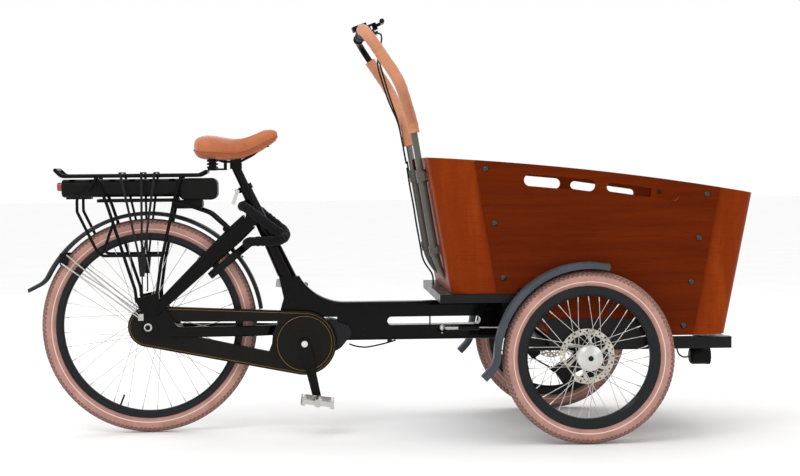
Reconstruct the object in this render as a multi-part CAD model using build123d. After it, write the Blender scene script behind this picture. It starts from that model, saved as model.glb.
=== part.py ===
"""Electric cargo tricycle: wooden box between two 20 inch front wheels, one 26 inch driven rear wheel.

Units are millimetres and +Z is up.  While designing, x runs forward from the rear axle, y runs to
the rider's left and z is the height above the ground.  save() moves each sub-part so that the
origin is under the middle of the whole vehicle.
"""
import os
from math import atan2, cos, degrees, hypot, pi, radians, sin, sqrt

from build123d import *

os.makedirs("parts", exist_ok=True)

# ---------------------------------------------------------------- driving dimensions
CENTRE_X = 711.5                       # middle of the vehicle, measured from the rear axle

REAR_RADIUS = 326                      # outside of a 26 x 1.75 tyre
FRONT_RADIUS = 250                     # outside of a 20 x 1.75 tyre
TYRE_SECTION = 23.5                    # half the tyre's width
WHEELBASE = 1285
HALF_TRACK = 385
REAR_AXLE = Vector(0, 0, REAR_RADIUS)

CHAIN_Y = -51                          # chain line, on the right-hand side
CHAIN_PITCH = 12.7
CRANK_X, CRANK_Z = 470, 270            # crank axis
CRANK_LENGTH = 172
CRANK_ANGLE = 12.5                     # right arm, forward of straight down
CHAINRING_TEETH, SPROCKET_TEETH = 40, 18

SEAT_SLOPE = 0.455                     # run of the seat tube per unit of height
SEAT_TOP = Vector(292, 0, 750)         # centre of the seat tube's mouth
SEAT_POST_RADIUS = 13.6

BEAM_TOP, BEAM_BOTTOM, BEAM_HALF_WIDTH = 391, 273, 30
PIVOT_X = 1130                         # steering axis, vertical, under the box
PIVOT_PIN_RADIUS = 15

POST_Y = 165                           # handlebar posts behind the box
POST_SLOPE = 0.165                     # run of the posts per unit of height
POST_OUTER, POST_INNER = 12.5, 10.0    # radii of the fixed and of the sliding tube
BAR_X, BAR_Z = 650, 1204               # crossbar of the handlebar

BOX_HALF_WIDTH = 345                   # outside of the side panels
LOCK_ANGLE = 39                        # ring lock, forward of the rear axle and upward
PLY = 9                                # thickness of the plywood
BOX_LOW, BOX_DECK = 306, 441           # undersides of the footwell and of the rear part

FIT = 0.08                             # radial clearance of a running fit
GAP = 0.35                             # clearance between faces that never touch


# ---------------------------------------------------------------- helpers
def save(shape, name):
    """Write one sub-part in the vehicle's own frame."""
    export_step(Pos(-CENTRE_X, 0, 0) * shape, f"parts/{name}.step")


def group(*shapes):
    """Several separate solids kept in one sub-part."""
    solids = []
    for shape in shapes:
        solids += shape.solids()
    return Compound(children=solids)


def both_sides(shape):
    """A solid and its mirror image across the middle plane."""
    return group(shape, mirror(shape, about=Plane.XZ))


def outline(*points):
    """Closed polygon."""
    return make_face(Polyline(*points, close=True))


def slab(sketch, y_low, y_high):
    """Side-view sketch (x, z) as a plate between two lateral positions."""
    return extrude(Plane.XZ.offset(-y_high) * sketch, amount=y_high - y_low)


def block(x_low, x_high, y_low, y_high, z_low, z_high):
    """Box from its limits."""
    middle = Pos((x_low + x_high) / 2, (y_low + y_high) / 2, (z_low + z_high) / 2)
    return middle * Box(x_high - x_low, y_high - y_low, z_high - z_low)


def rod(start, end, radius, bore=0):
    """Round bar or tube between two points."""
    start, end = Vector(*start), Vector(*end)
    place = Plane(origin=start, z_dir=end - start)
    section = Circle(radius) - Circle(bore) if bore else Circle(radius)
    return extrude(place * section, amount=(end - start).length)


def bend_radii(points, share=0.45):
    """Largest tidy bend for each corner of a route."""
    radii = []
    for before, corner, after in zip(points, points[1:], points[2:]):
        run_in = Vector(*corner) - Vector(*before)
        run_out = Vector(*after) - Vector(*corner)
        turn = radians(run_in.get_angle(run_out))
        radii.append(share * min(run_in.length, run_out.length) / max(sin(turn / 2) / cos(turn / 2), 1e-3))
    return radii


def pipe(points, radii, radius, bore=0):
    """Round tube along straight runs joined by bends."""
    path = FilletPolyline(*points, radius=radii)
    section = Circle(radius) - Circle(bore) if bore else Circle(radius)
    return sweep(Plane(origin=path @ 0, z_dir=path % 0) * section, path=path)


def cable(points, radius):
    """Cable or hose along a route with bends as large as its runs allow."""
    return pipe(points, bend_radii(points), radius)


def turned(sketch, centre):
    """Sketch (radius, lateral) turned about the y direction through a centre."""
    return Pos(*centre) * revolve(sketch, Axis.Y)


def ring(outer, inner, y_low, y_high, centre=(0, 0, 0)):
    """Flat ring or disc about the y direction."""
    sketch = Circle(outer) - Circle(inner) if inner else Circle(outer)
    return Pos(centre[0], 0, centre[2]) * slab(sketch, centre[1] + y_low, centre[1] + y_high)


def stadium(first, first_radius, second, second_radius):
    """Outline wrapped around two circles, like a belt."""
    circles = Pos(*first) * Circle(first_radius) + Pos(*second) * Circle(second_radius)
    return make_hull(circles.edges())


def on_circle(radius, angle, centre=(0, 0)):
    """Point (x, z) at an angle from forward, counted upward."""
    turn = radians(angle)
    return (centre[0] + radius * cos(turn), centre[1] + radius * sin(turn))


def seat_axis(z):
    """Point on the seat tube's axis at a height."""
    return Vector(SEAT_TOP.X + (SEAT_TOP.Z - z) * SEAT_SLOPE, 0, z)


def post_axis(z, side=-1):
    """Point on a handlebar post's axis at a height."""
    return Vector(803 + (893 - z) * POST_SLOPE, side * POST_Y, z)


# ---------------------------------------------------------------- wheels
def tyre(radius, centre):
    """Hollow tyre carcass, open towards the rim."""
    middle = radius - TYRE_SECTION
    carcass = Pos(middle, 0) * (Circle(TYRE_SECTION) - Circle(TYRE_SECTION - 4))
    mouth = Pos(middle - TYRE_SECTION, 0) * Rectangle(16, 18)
    return turned(carcass - mouth, centre)


def rim(radius, inner, valve_angle, centre):
    """Double-walled rim with its valve."""
    flange = radius - TYRE_SECTION - 20.5
    section = outline(
        (flange, 14.5), (flange, 12.2), (flange - 6, 11), (flange - 6, -11), (flange, -12.2),
        (flange, -14.5), (inner + 7, -12), (inner, -6), (inner, 6), (inner + 7, 12),
    )
    hollow = outline(
        (flange - 9, 8.5), (flange - 9, -8.5), (inner + 8, -9), (inner + 2.5, -4.5),
        (inner + 2.5, 4.5), (inner + 8, 9),
    )
    body = turned(section - hollow, centre)
    x_in, z_in = on_circle(inner - 0.3, valve_angle)
    x_out, z_out = on_circle(inner - 34, valve_angle)
    stem = Pos(*centre) * rod((x_in, 0, z_in), (x_out, 0, z_out), 3)
    return group(body, stem)


def spokes(hub_radii, flange_offsets, rim_inner, centre, phase=0, count=36, cross=60):
    """Crossed wire spokes with nipples; flanges are given for the right and the left side."""
    wires = []
    for number in range(count):
        side = number % 2
        pair = (number // 2) % 2
        rim_angle = phase + 360 / count * number
        hub_angle = rim_angle + (cross if pair else -cross)
        outwards = 2.8 if pair else -2.8
        x_hub, z_hub = on_circle(hub_radii[side], hub_angle)
        hub = Vector(x_hub, flange_offsets[side] + outwards, z_hub)
        x_rim, z_rim = on_circle(rim_inner - 1.2, rim_angle)
        nipple_end = Vector(x_rim, -2.5 if side == 0 else 2.5, z_rim)
        nipple_start = nipple_end + (hub - nipple_end).normalized() * 13
        wires.append(Pos(*centre) * rod(hub, nipple_start, 1.0))
        wires.append(Pos(*centre) * rod(nipple_start, nipple_end, 1.9))
    return wires


def front_hub(side, centre):
    """Hub of a front wheel on a stub axle; the rotor's seat faces the box."""
    section = outline(
        (7.6, -29), (24, -29), (24, -23), (33, -23), (33, -20), (18, -14), (18, 16), (34, 21),
        (37, 25), (37, 28), (27, 33), (27, 36), (15, 40), (7.6, 40),
    )
    body = revolve(section, Axis.Y)
    if side < 0:
        body = mirror(body, about=Plane.XZ)
    return Pos(*centre) * body


def rotor(side, centre):
    """Brake disc with six swept arms and a band of cooling holes."""
    band = Circle(80) - Circle(63)
    for number in range(24):
        band -= Pos(*on_circle(74.5, 15 * number)) * Circle(3.2)
        band -= Pos(*on_circle(68, 15 * number + 7.5)) * Circle(2.2)
    arms = Circle(31)
    for number in range(6):
        arm = outline(
            on_circle(28, 60 * number - 12), on_circle(66, 60 * number + 22),
            on_circle(66, 60 * number + 31), on_circle(28, 60 * number + 10),
        )
        arms += arm
    plate = band + arms - Circle(24.3)
    inner_face = side * 27.0
    return Pos(*centre) * slab(plate, -inner_face - 1, -inner_face + 1)


def sprocket_outline(teeth):
    """Chain wheel with a gap for every roller."""
    pitch_radius = CHAIN_PITCH / 2 / sin(pi / teeth)
    wheel = Circle(pitch_radius + 3.6)
    for number in range(teeth):
        wheel -= Pos(*on_circle(pitch_radius, 360 / teeth * number)) * Circle(4.1)
    return wheel


front_centres = {
    "right": (WHEELBASE, -HALF_TRACK, FRONT_RADIUS),
    "left": (WHEELBASE, HALF_TRACK, FRONT_RADIUS),
}
for name, centre in front_centres.items():
    side = -1 if name == "right" else 1
    inner_flange, outer_flange = -21.5 * side, 26.5 * side
    flanges = (outer_flange, inner_flange) if side < 0 else (inner_flange, outer_flange)
    reach = (34, 30) if side < 0 else (30, 34)
    save(tyre(FRONT_RADIUS, centre), f"front_{name}_tyre")
    save(rim(FRONT_RADIUS, 177, 65, centre), f"front_{name}_rim")
    save(group(front_hub(side, centre), *spokes(reach, flanges, 177, centre)), f"front_{name}_hub")
    save(rotor(side, centre), f"front_{name}_rotor")

rear_centre = tuple(REAR_AXLE)
save(tyre(REAR_RADIUS, rear_centre), "rear_tyre")
save(rim(REAR_RADIUS, 260, -111, rear_centre), "rear_rim")
gear_hub = turned(
    outline(
        (5.2, -36), (20, -36), (22, -31), (38, -31), (38, -28), (31, -24), (33, 0), (31, 24), (38, 28),
        (38, 31), (24, 31), (24, 36), (46, 38), (48, 42), (48, 56), (44, 60), (14, 60), (5.2, 60),
    ),
    rear_centre,
)
save(group(gear_hub, *spokes((35, 35), (-29.5, 29.5), 260, rear_centre, LOCK_ANGLE + 5)), "rear_hub")

sprocket = slab(sprocket_outline(SPROCKET_TEETH) - Circle(5.2), CHAIN_Y - 1.5, CHAIN_Y + 1.5)
sprocket += ring(17, 5.2, -58, -37)
save(Pos(*rear_centre) * sprocket, "rear_sprocket")


def axle_end(side):
    """Washer, nut and domed cap outside a dropout."""
    washer = ring(12, 0, 74, 76)
    nut = extrude(Plane.XZ.offset(-84) * RegularPolygon(10, 6), amount=8)
    cap = Pos(0, 84, 0) * Rot(-90, 0, 0) * Cone(8, 5, 7, align=(Align.CENTER, Align.CENTER, Align.MIN))
    end = washer + nut + cap
    return end if side > 0 else mirror(end, about=Plane.XZ)


axle = rod((0, -80, 0), (0, 80, 0), 5) + axle_end(1) + axle_end(-1)
brake_arm = slab(stadium((0, 0), 14, (90, -11), 7), 61, 64.5)
save(Pos(*rear_centre) * group(axle, brake_arm - ring(5.1, 0, 60, 66)), "rear_axle")

# ---------------------------------------------------------------- frame
beam_outline = make_face(
    Polyline(
        (456, 472), (394, 472), (408, 405), (386, 330), (386, 292), (402, 292), (402, 346), (570, 346),
        (570, 297), (594, BEAM_BOTTOM), (PIVOT_X - 20, BEAM_BOTTOM), (PIVOT_X - 20, BEAM_TOP), (600, BEAM_TOP),
    )
    + ThreePointArc((600, BEAM_TOP), (505, 419), (456, 472))
)
beam = slab(beam_outline, -BEAM_HALF_WIDTH, BEAM_HALF_WIDTH)
long_edges = beam.edges().filter_by(Axis.X).filter_by(lambda edge: edge.length > 400)
beam = fillet(long_edges, 12)
slot_window = Pos(867, 331.5) * SlotOverall(286, 25)
beam -= slab(slot_window, -40, 40)
for z_low, z_high in ((349, BEAM_TOP - 5), (BEAM_BOTTOM + 5, 314)):
    beam -= block(625, PIVOT_X - 50, -24, 24, z_low, z_high)
head_tube = Pos(PIVOT_X, 0, 329.5) * (Cylinder(27, 135) + Pos(0, 0, 62) * Cylinder(30, 11) + Pos(0, 0, -62) * Cylinder(30, 11))
damper_lug = block(878, 902, -62, -28, 297, 303) + Pos(890, -55, 300) * Cylinder(9, 6)
beam = beam + head_tube + damper_lug
beam -= Pos(PIVOT_X, 0, 330) * Cylinder(PIVOT_PIN_RADIUS + FIT, 200)
beam -= Pos(890, -55, 300) * Cylinder(4, 20)
save(beam, "main_beam")

seat_direction = Vector(-SEAT_SLOPE, 0, 1).normalized()
tube_plane = Plane(origin=SEAT_TOP, z_dir=-seat_direction)
tube_profile = outline((0, 0), (17.5, 0), (17.5, 28), (27, 330), (0, 330))
seat_tube = tube_plane * revolve(Plane.XZ * tube_profile, Axis.Z)
seat_tube -= tube_plane * Pos(0, 0, 125) * Cylinder(SEAT_POST_RADIUS + FIT, 252)
seat_tube &= block(200, 520, -60, 60, 472, 800)
save(seat_tube, "seat_tube")


def stay(sections):
    """Flattened stay lofted through rounded sections given as (x, y, z, tall, wide, slope)."""
    faces = []
    for x, y, z, tall, wide, slope in sections:
        plane = Plane(origin=(x, y, z), x_dir=(0, 1, 0), z_dir=(cos(radians(slope)), 0, sin(radians(slope))))
        faces.append(plane * RectangleRounded(wide, tall, min(tall, wide) * 0.4))
    return loft(faces, ruled=True)


def rear_half():
    """Dropout, seat stay and chain stay of the right-hand side."""
    upper = stay([(18, -74, 372, 30, 12, 43), (150, -62, 497, 44, 16, 43), (262, -47, 601, 57, 20, 43)])
    head = stay([(262, -47, 601, 57, 20, 43), (305, -30, 641, 54, 20, 43)])
    lower = stay([(70, -74, 310, 32, 12, 0), (330, -47, 309, 32, 16, 0), (387, -26, 309, 32, 16, 0)])
    plate = slab(
        outline((-16, 300), (14, 292), (90, 296), (90, 324), (52, 384), (24, 386), (4, 362), (-20, 340)),
        -74, -68,
    )
    plate -= Pos(*REAR_AXLE) * rod((0, -90, 0), (0, -60, 0), 5.1)
    return upper + head + lower + plate


triangle = rear_half()
triangle += mirror(triangle, about=Plane.XZ)
triangle += block(296, 330, -38, 38, 628, 668)
triangle -= tube_plane * Pos(0, 0, 160) * Cone(17.5, 28, 330)
triangle -= slab(beam_outline, -BEAM_HALF_WIDTH, BEAM_HALF_WIDTH)
save(triangle, "rear_triangle")

collar = tube_plane * Pos(0, 0, 8) * (Cylinder(22, 17) + Pos(25, 0, 0) * Box(16, 16, 14))
collar -= tube_plane * Pos(0, 0, 8) * Cylinder(17.5, 40)
collar -= tube_plane * Pos(27, 0, 8) * Box(24, 2.4, 20)
skewer_place = tube_plane * Pos(27, 0, 8) * Rot(90, 0, 0)
collar -= skewer_place * Cylinder(3.1, 60)
save(collar, "seat_collar")

lever_pivot = (tube_plane * Pos(27, 0, 8)).position
quick_lever = skewer_place * (Cylinder(2.9, 30) + Pos(0, 0, 13) * Cylinder(6.5, 8) + Pos(0, 0, -13) * Cylinder(6, 5))
quick_blade = slab(stadium((lever_pivot.X, lever_pivot.Z), 5, (lever_pivot.X - 12, lever_pivot.Z - 34), 6), -17, -12)
save(quick_lever + quick_blade, "seat_lever")

# ---------------------------------------------------------------- seat
post_top = seat_axis(SEAT_TOP.Z) + seat_direction * 62
post_bottom = SEAT_TOP - seat_direction * 130
seat_post = rod(post_bottom, post_top, SEAT_POST_RADIUS)
clamp_z = post_top.Z + 14
clamp_x = post_top.X
seat_post += block(clamp_x - 17, clamp_x + 19, -17, 17, post_top.Z - 6, clamp_z - 2)
seat_post -= rod((clamp_x - 60, -22, clamp_z), (clamp_x + 60, -22, clamp_z), 3.8)
save(seat_post, "seat_post")


def saddle_rail(side):
    """Wire rail from the nose socket, through the clamp, to the rear bridge."""
    route = [
        (358, side * 9, 872), (318, side * 20, 842), (280, side * 22, clamp_z + 2),
        (225, side * 22, clamp_z + 2), (176, side * 34, 850),
    ]
    return pipe(route, [28, 30, 40], 3.5)


rails = saddle_rail(1) + saddle_rail(-1)
cap_plate = block(clamp_x - 16, clamp_x + 18, -29, 29, clamp_z + 5.8, clamp_z + 11)
clamp_jaws = block(clamp_x - 16, clamp_x + 18, -29, -17.4, clamp_z - 7, clamp_z + 5.8)
clamp_jaws += block(clamp_x - 16, clamp_x + 18, 17.4, 29, clamp_z - 7, clamp_z + 5.8)
rear_bridge = block(160, 186, -58, 58, 843, 853)
nose_socket = block(350, 368, -14, 14, 866, 880)
base_frame = rails + cap_plate + clamp_jaws + rear_bridge + nose_socket
for side in (-1, 1):
    for turn in range(4):
        base_frame += Pos(196, side * 44, 806 + 10 * turn) * Torus(12, 3.4)
    base_frame += Pos(196, side * 44, 824) * Cylinder(9.5, 44)
base_frame += block(184, 208, -56, 56, 796, 803)
base_frame += block(200, 240, -9, 9, 797, 803) + block(230, 240, -9, 9, 800, clamp_z + 8)
save(base_frame, "saddle_frame")


def saddle_form(sections):
    """Rounded sections given as (x, half width, low, high), joined from the rear to the nose."""
    faces = []
    for x, half_width, low, high in sections:
        plane = Plane(origin=(x, 0, (low + high) / 2), x_dir=(0, 1, 0), z_dir=(1, 0, 0))
        faces.append(plane * RectangleRounded(2 * half_width, high - low, min(high - low, 2 * half_width) * 0.46))
    return loft(faces)


saddle = saddle_form([
    (142, 52, 846, 880), (168, 92, 833, 897), (205, 98, 829, 896), (240, 74, 829, 886), (272, 52, 831, 881),
    (302, 38, 838, 890), (335, 29, 858, 904), (366, 25, 876, 911), (390, 16, 890, 908),
])
saddle -= saddle_form([
    (156, 40, 815, 857), (172, 76, 815, 861), (205, 84, 815, 861), (240, 60, 815, 856), (272, 39, 815, 853),
    (300, 26, 815, 853), (322, 16, 820, 850),
])
saddle -= nose_socket + rails + rear_bridge
save(saddle, "saddle")

# ---------------------------------------------------------------- motor and drive
motor = slab(stadium((CRANK_X, CRANK_Z), 62, (548, 290), 50), -38, 40)
motor = chamfer(motor.faces().filter_by(Axis.Y).edges(), 5)
beside_case = stadium((556, 292), 44, (585, 300), 26) - stadium((0, REAR_RADIUS + 1), 63, (CRANK_X, CRANK_Z), 98)
motor += slab(beside_case, -49, -36)
for x, z in ((575, 262), (600, 318)):
    motor += Pos(x, -49, z) * Rot(90, 0, 0) * Cylinder(5, 4)
for number in range(5):
    motor -= block(490 + 14 * number, 495 + 14 * number, 36, 45, 262, 318)
motor -= rod((CRANK_X, -90, CRANK_Z), (CRANK_X, 90, CRANK_Z), 9 + FIT)
motor -= slab(beam_outline, -BEAM_HALF_WIDTH - GAP, BEAM_HALF_WIDTH + GAP)
save(motor, "mid_motor")

case_outline = stadium((0, REAR_RADIUS + 1), 62, (CRANK_X, CRANK_Z), 97)
case_window = outline((64, 341), (64, 306), (110, 302), (300, 260), (362, 247), (371, 270), (374, 300), (392, 338))
case_cavity = stadium((0, REAR_RADIUS + 1), 59.5, (CRANK_X, CRANK_Z), 94.5)
window_wall = offset(case_window, 2.5)
chain_case = slab(case_outline - case_window, -62, -41)
chain_case = fillet(chain_case.faces().sort_by(Axis.Y)[0].outer_wire().edges(), 4)
chain_case -= slab(case_cavity - window_wall, -59.6, -43.4)
chain_case -= rod((0, -90, REAR_RADIUS), (0, 0, REAR_RADIUS), 18.5)
chain_case -= rod((CRANK_X, -90, CRANK_Z), (CRANK_X, 0, CRANK_Z), 16)
ring_cover = Pos(CRANK_X, 0, CRANK_Z) * (
    slab(Circle(86) - Circle(16), -65.5, -62) + slab(Circle(86) - Circle(79), -67.5, -65)
    + slab(Circle(40) - Circle(16), -68, -65)
)
save(group(chain_case, ring_cover), "chain_case")

crank_place = Pos(CRANK_X, 0, CRANK_Z)
chainring = sprocket_outline(CHAINRING_TEETH) - Circle(66)
for number in range(5):
    foot = outline(
        on_circle(10, 72 * number - 80), on_circle(70, 72 * number - 6), on_circle(70, 72 * number + 6),
        on_circle(10, 72 * number + 80),
    )
    chainring += foot
chainring += Circle(24)
chainring_solid = slab(chainring - Circle(9.0), CHAIN_Y - 1.5, CHAIN_Y + 1.5)
save(crank_place * Rot(0, -CRANK_ANGLE, 0) * chainring_solid, "chainring")


def chain():
    """Side plates as two thin loops, with pins along the straight runs."""
    ring_radius = CHAIN_PITCH / 2 / sin(pi / CHAINRING_TEETH)
    sprocket_radius = CHAIN_PITCH / 2 / sin(pi / SPROCKET_TEETH)
    rear, front = (0, REAR_RADIUS), (CRANK_X, CRANK_Z)
    band = stadium(rear, sprocket_radius + 4, front, ring_radius + 4)
    band -= stadium(rear, sprocket_radius - 4, front, ring_radius - 4)
    pieces = [slab(band, CHAIN_Y - 3.6, CHAIN_Y - 2.2), slab(band, CHAIN_Y + 2.2, CHAIN_Y + 3.6)]
    span = Vector(CRANK_X, CRANK_Z - REAR_RADIUS, 0)
    lean = degrees(atan2(span.Y, span.X))
    opening = degrees(atan2(ring_radius - sprocket_radius, span.length))
    straight = sqrt(span.length ** 2 - (ring_radius - sprocket_radius) ** 2)
    for run in (1, -1):
        normal_angle = lean + run * (90 + opening)
        start = Vector(*on_circle(sprocket_radius, normal_angle, rear))
        end = Vector(*on_circle(ring_radius, normal_angle, front))
        for number in range(2, int(straight / CHAIN_PITCH) - 3):
            spot = start + (end - start) * (number * CHAIN_PITCH / straight)
            pieces.append(rod((spot.X, CHAIN_Y - 2.2, spot.Y), (spot.X, CHAIN_Y + 2.2, spot.Y), 3.6))
    return pieces


save(group(*chain()), "drive_chain")


def crank_arm(side):
    """Tapered crank with its axle bolt."""
    arm = slab(stadium((0, 0), 17, (0, -CRANK_LENGTH), 12.5), 72, 85)
    arm -= slab(stadium((0, -32), 7, (0, -CRANK_LENGTH + 28), 4.5), 81, 90)
    arm -= rod((0, 60, -CRANK_LENGTH), (0, 100, -CRANK_LENGTH), 6 + FIT)
    arm += ring(9.5, 0, 85, 89)
    arm += ring(15.5, 0, 68.5, 72)
    if side < 0:
        arm = mirror(arm, about=Plane.XZ)
    turn = -CRANK_ANGLE if side < 0 else 180 - CRANK_ANGLE
    return crank_place * Rot(0, turn, 0) * arm


spindle = rod((CRANK_X, -68.5, CRANK_Z), (CRANK_X, 68.5, CRANK_Z), 9)
save(group(spindle, crank_arm(-1), crank_arm(1)), "crank_arms")


def pedal(side):
    """Platform pedal on its axle, level when the bike stands still."""
    body = block(-46, 46, 97, 182, -7, 7)
    body -= block(-34, -13, 106, 173, -20, 20) + block(13, 34, 106, 173, -20, 20)
    body += block(-46, -38, 101, 178, -13, 13) + block(38, 46, 101, 178, -13, 13)
    body += ring(12, 0, 95, 184)
    body -= ring(5.6, 0, 80, 190)
    body -= block(-60, -44, 112, 167, -8, 8) + block(44, 60, 112, 167, -8, 8)
    cages = block(-50, 50, 92.5, 95, -12, 12) - ring(6.6, 0, 80, 100)
    cages += block(-50, -46, 92.5, 178, -12, -9) + block(46, 50, 92.5, 178, -12, -9)
    axle_pin = ring(5.5, 0, 90, 180) + ring(6, 0, 72.5, 90) + ring(9, 0, 85.4, 88)
    pieces = group(body, cages - body, axle_pin - body)
    x_end = CRANK_X + CRANK_LENGTH * sin(radians(CRANK_ANGLE)) * (1 if side < 0 else -1)
    z_end = CRANK_Z - CRANK_LENGTH * cos(radians(CRANK_ANGLE)) * (1 if side < 0 else -1)
    if side < 0:
        pieces = mirror(pieces, about=Plane.XZ)
    return Pos(x_end, 0, z_end) * Rot(0, 8, 0) * pieces


save(pedal(-1), "pedal_right")
save(pedal(1), "pedal_left")

# ---------------------------------------------------------------- carrier, battery and straps
DECK_Z = 783
deck_side = [(-272, 58, 801), (-254, 58, DECK_Z), (158, 58, DECK_Z), (178, 58, 793)]
deck = pipe(deck_side, [22, 22], 6)
deck += mirror(deck, about=Plane.XZ)
for x in (-225, -165, -105, -45, 15, 75, 135):
    deck += block(x - 9, x + 9, -58, 58, DECK_Z - 3, DECK_Z + 3)
deck += rod((-272, -58, 801), (-272, 58, 801), 6) + rod((178, -58, 793), (178, 58, 793), 6)


def carrier_side():
    """Legs and pannier hoop of the left-hand side."""
    rear_leg = pipe(
        [(-151, 58, DECK_Z), (-116, 66, 690), (-62, 80, 520), (-36, 84, 440), (-32, 84, 402)],
        [60, 120, 60], 5,
    )
    front_leg = pipe([(105, 58, DECK_Z), (84, 66, 712), (42, 82, 520), (28, 85.5, 424)], [60, 120], 5)
    hoop = pipe(
        [(-150, 62, 778), (-172, 72, 738), (-206, 76, 716), (-206, 76, 676), (-142, 76, 543), (48, 79, 543)],
        [20, 16, 18, 30], 4.5,
    )
    foot = slab(outline((-40, 414), (34, 430), (36, 392), (24, 366), (2, 362), (-24, 384)), 81, 85)
    tie = rod((-128, 70, 560), (-100, 72, 640), 4.5)
    return rear_leg + front_leg + hoop + foot + tie


carrier = deck + carrier_side() + mirror(carrier_side(), about=Plane.XZ)
brace = pipe([(76, 67, 702), (130, 65, 690), (190, 62, 668), (236, 60, 626)], [80, 60], 5)
brace += Pos(236, 61, 620) * Rot(90, 0, 0) * Cylinder(9, 4)
brace -= triangle
carrier += brace + mirror(brace, about=Plane.XZ)
save(carrier, "rear_carrier")

battery = block(-256, 95.5, -51, 51, 719, 773)
battery = fillet(battery.edges().filter_by(Axis.X), 18)
battery = fillet(battery.faces().sort_by(Axis.X)[0].edges(), 8)
battery_head = fillet(block(96, 212, -54, 54, 708, 774).edges().filter_by(Axis.Y), 20)
battery_head = fillet(battery_head.faces().filter_by(Axis.Y).edges(), 8)
battery += block(-244, -170, -30, 30, 713, 719)
grip_hole = Pos(-214, 0, 746) * Box(26, 60, 22)
save(battery - grip_hole, "battery")

lamp = fillet(block(-270, -256.2, -42, 42, 738, 764).edges().filter_by(Axis.X), 8)
lamp = fillet(lamp.faces().sort_by(Axis.X)[0].edges(), 5)
save(lamp, "rear_light")

cradle = block(-150, 94, -46, 46, 703, 712.6) - block(-140, 84, -34, 34, 706, 716)
cradle += fillet(block(86, 166, -44, 44, 682, 707.6).edges().filter_by(Axis.Y), 8)
cradle += block(104, 122, -52, -44, 688, 704) + block(-150, 94, -50, -46, 703, 710)
cradle += battery_head
cradle -= rod((112, -60, 696), (112, -49, 696), 4)
for side in (-1, 1):
    for x in (-120, 70):
        cradle += block(x - 6, x + 6, side * 56.5 - 10.5, side * 56.5 + 10.5, 706, 712)
cradle -= both_sides(carrier_side())
save(cradle, "battery_cradle")


def strap_side():
    """Three rubber bands from the deck that meet in one hooked tab."""
    bands = None
    for x in (-78, -14, 26):
        reach = -14 + (x + 14) * 0.12
        start = Vector(x, 70, DECK_Z + 10)
        end = Vector(reach, 88.5, 536)
        band = loft([
            Plane(origin=start, z_dir=end - start, x_dir=(1, 0, 0)) * Rectangle(8, 3),
            Plane(origin=end, z_dir=end - start, x_dir=(1, 0, 0)) * Rectangle(6, 3),
        ])
        bands = band if bands is None else bands + band
        bands += block(x - 4, x + 4, 0, 72, DECK_Z + 7.2, DECK_Z + 10.5)
    tab = slab(outline((-27, 540), (-1, 540), (-7, 480), (-21, 480)), 86.5, 91)
    hook = pipe([(-14, 89, 482), (-14, 89, 440), (-14, 84, 425), (-14, 72, 428)], [12, 5], 2.2)
    return bands + tab + hook


straps = strap_side()
save(straps + mirror(straps, about=Plane.XZ), "luggage_straps")


# ---------------------------------------------------------------- mudguards
def mudguard(radius, half_width, lip, start, end, flare, flap, centre):
    """Rolled mudguard from a forward angle to a rearward one, with a flared flap at its tail."""
    to_tail = CenterArc((0, 0), radius, start, end - start)
    tangent = to_tail % 1
    turn_centre = to_tail @ 1 + Vector(*on_circle(60, end))
    kick = CenterArc(turn_centre, 60, end + 180, -flare)
    straight = Line(kick @ 1, (kick @ 1) + (kick % 1) * flap)
    side_path = Plane.XZ * (to_tail + kick + straight)
    path = Wire(side_path.edges())
    upper = Spline((-half_width, -lip), (-half_width * 0.62, -1.5), (0, 0), (half_width * 0.62, -1.5), (half_width, -lip))
    shell = make_face(
        upper + Line((half_width, -lip), (half_width - 1.8, -lip))
        + Spline((half_width - 1.8, -lip), (half_width * 0.6, -3.6), (0, -2), (-half_width * 0.6, -3.6), (-half_width + 1.8, -lip))
        + Line((-half_width + 1.8, -lip), (-half_width, -lip))
    )
    x0, z0 = on_circle(radius, start)
    x_dir = Vector(0, 1, 0)
    outwards = on_circle(1, start)
    plane = Plane(origin=(x0, 0, z0), x_dir=x_dir, z_dir=(-outwards[1], 0, outwards[0]))
    section = plane * shell
    if (section.faces()[0].center() - Vector(x0, 0, z0)).dot(Vector(outwards[0], 0, outwards[1])) > 0:
        section = plane * mirror(shell, about=Plane.XZ)
    return Pos(*centre) * sweep(section, path=path)


rear_guard = mudguard(348, 30, 12, 8, 153, 36, 34, rear_centre)
save(rear_guard, "rear_fender")


def rear_stay():
    """Double wire stay of the left-hand side."""
    front_wire = pipe([(-245, 32, 545), (-130, 55, 449), (-26, 67, 362)], [300], 2.4)
    lower_wire = pipe([(-262, 32, 520), (-136, 57, 434), (-24, 67, 352)], [300], 2.4)
    return front_wire + lower_wire + block(-30, -14, 63.4, 67.6, 346, 366) + block(-266, -240, 30.3, 34, 514, 550)


stay_left = rear_stay()
save(group(stay_left, mirror(stay_left, about=Plane.XZ)), "rear_fender_stays")

front_guards = []
for name, centre in front_centres.items():
    front_guards.append(mudguard(275, 30, 19, 77, 178, 42, 28, centre))
save(group(*front_guards), "front_fenders")

# ---------------------------------------------------------------- ring lock and its chain
LOCK_CENTRE_RADIUS, LOCK_BORE, LOCK_OUTER, BOLT_PATH = 303, 56, 75, 65.5
BOLT_RADIUS = 4.2
lock_x, lock_z = on_circle(LOCK_CENTRE_RADIUS, LOCK_ANGLE, (0, REAR_RADIUS))
lock_normal = (-sin(radians(LOCK_ANGLE)), 0, cos(radians(LOCK_ANGLE)))
lock_plane = Plane(origin=(lock_x, 0, lock_z), x_dir=(0, 1, 0), z_dir=lock_normal)
towards_axle = Vector(rear_centre) - lock_plane.origin
axle_angle = degrees(atan2(towards_axle.dot(lock_plane.y_dir), towards_axle.dot(lock_plane.x_dir)))


def lock_angle(turn):
    """Angle in the lock's plane, counted from its open side towards the left."""
    left = 1 if axle_angle < 0 else -1
    return axle_angle + left * turn


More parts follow.
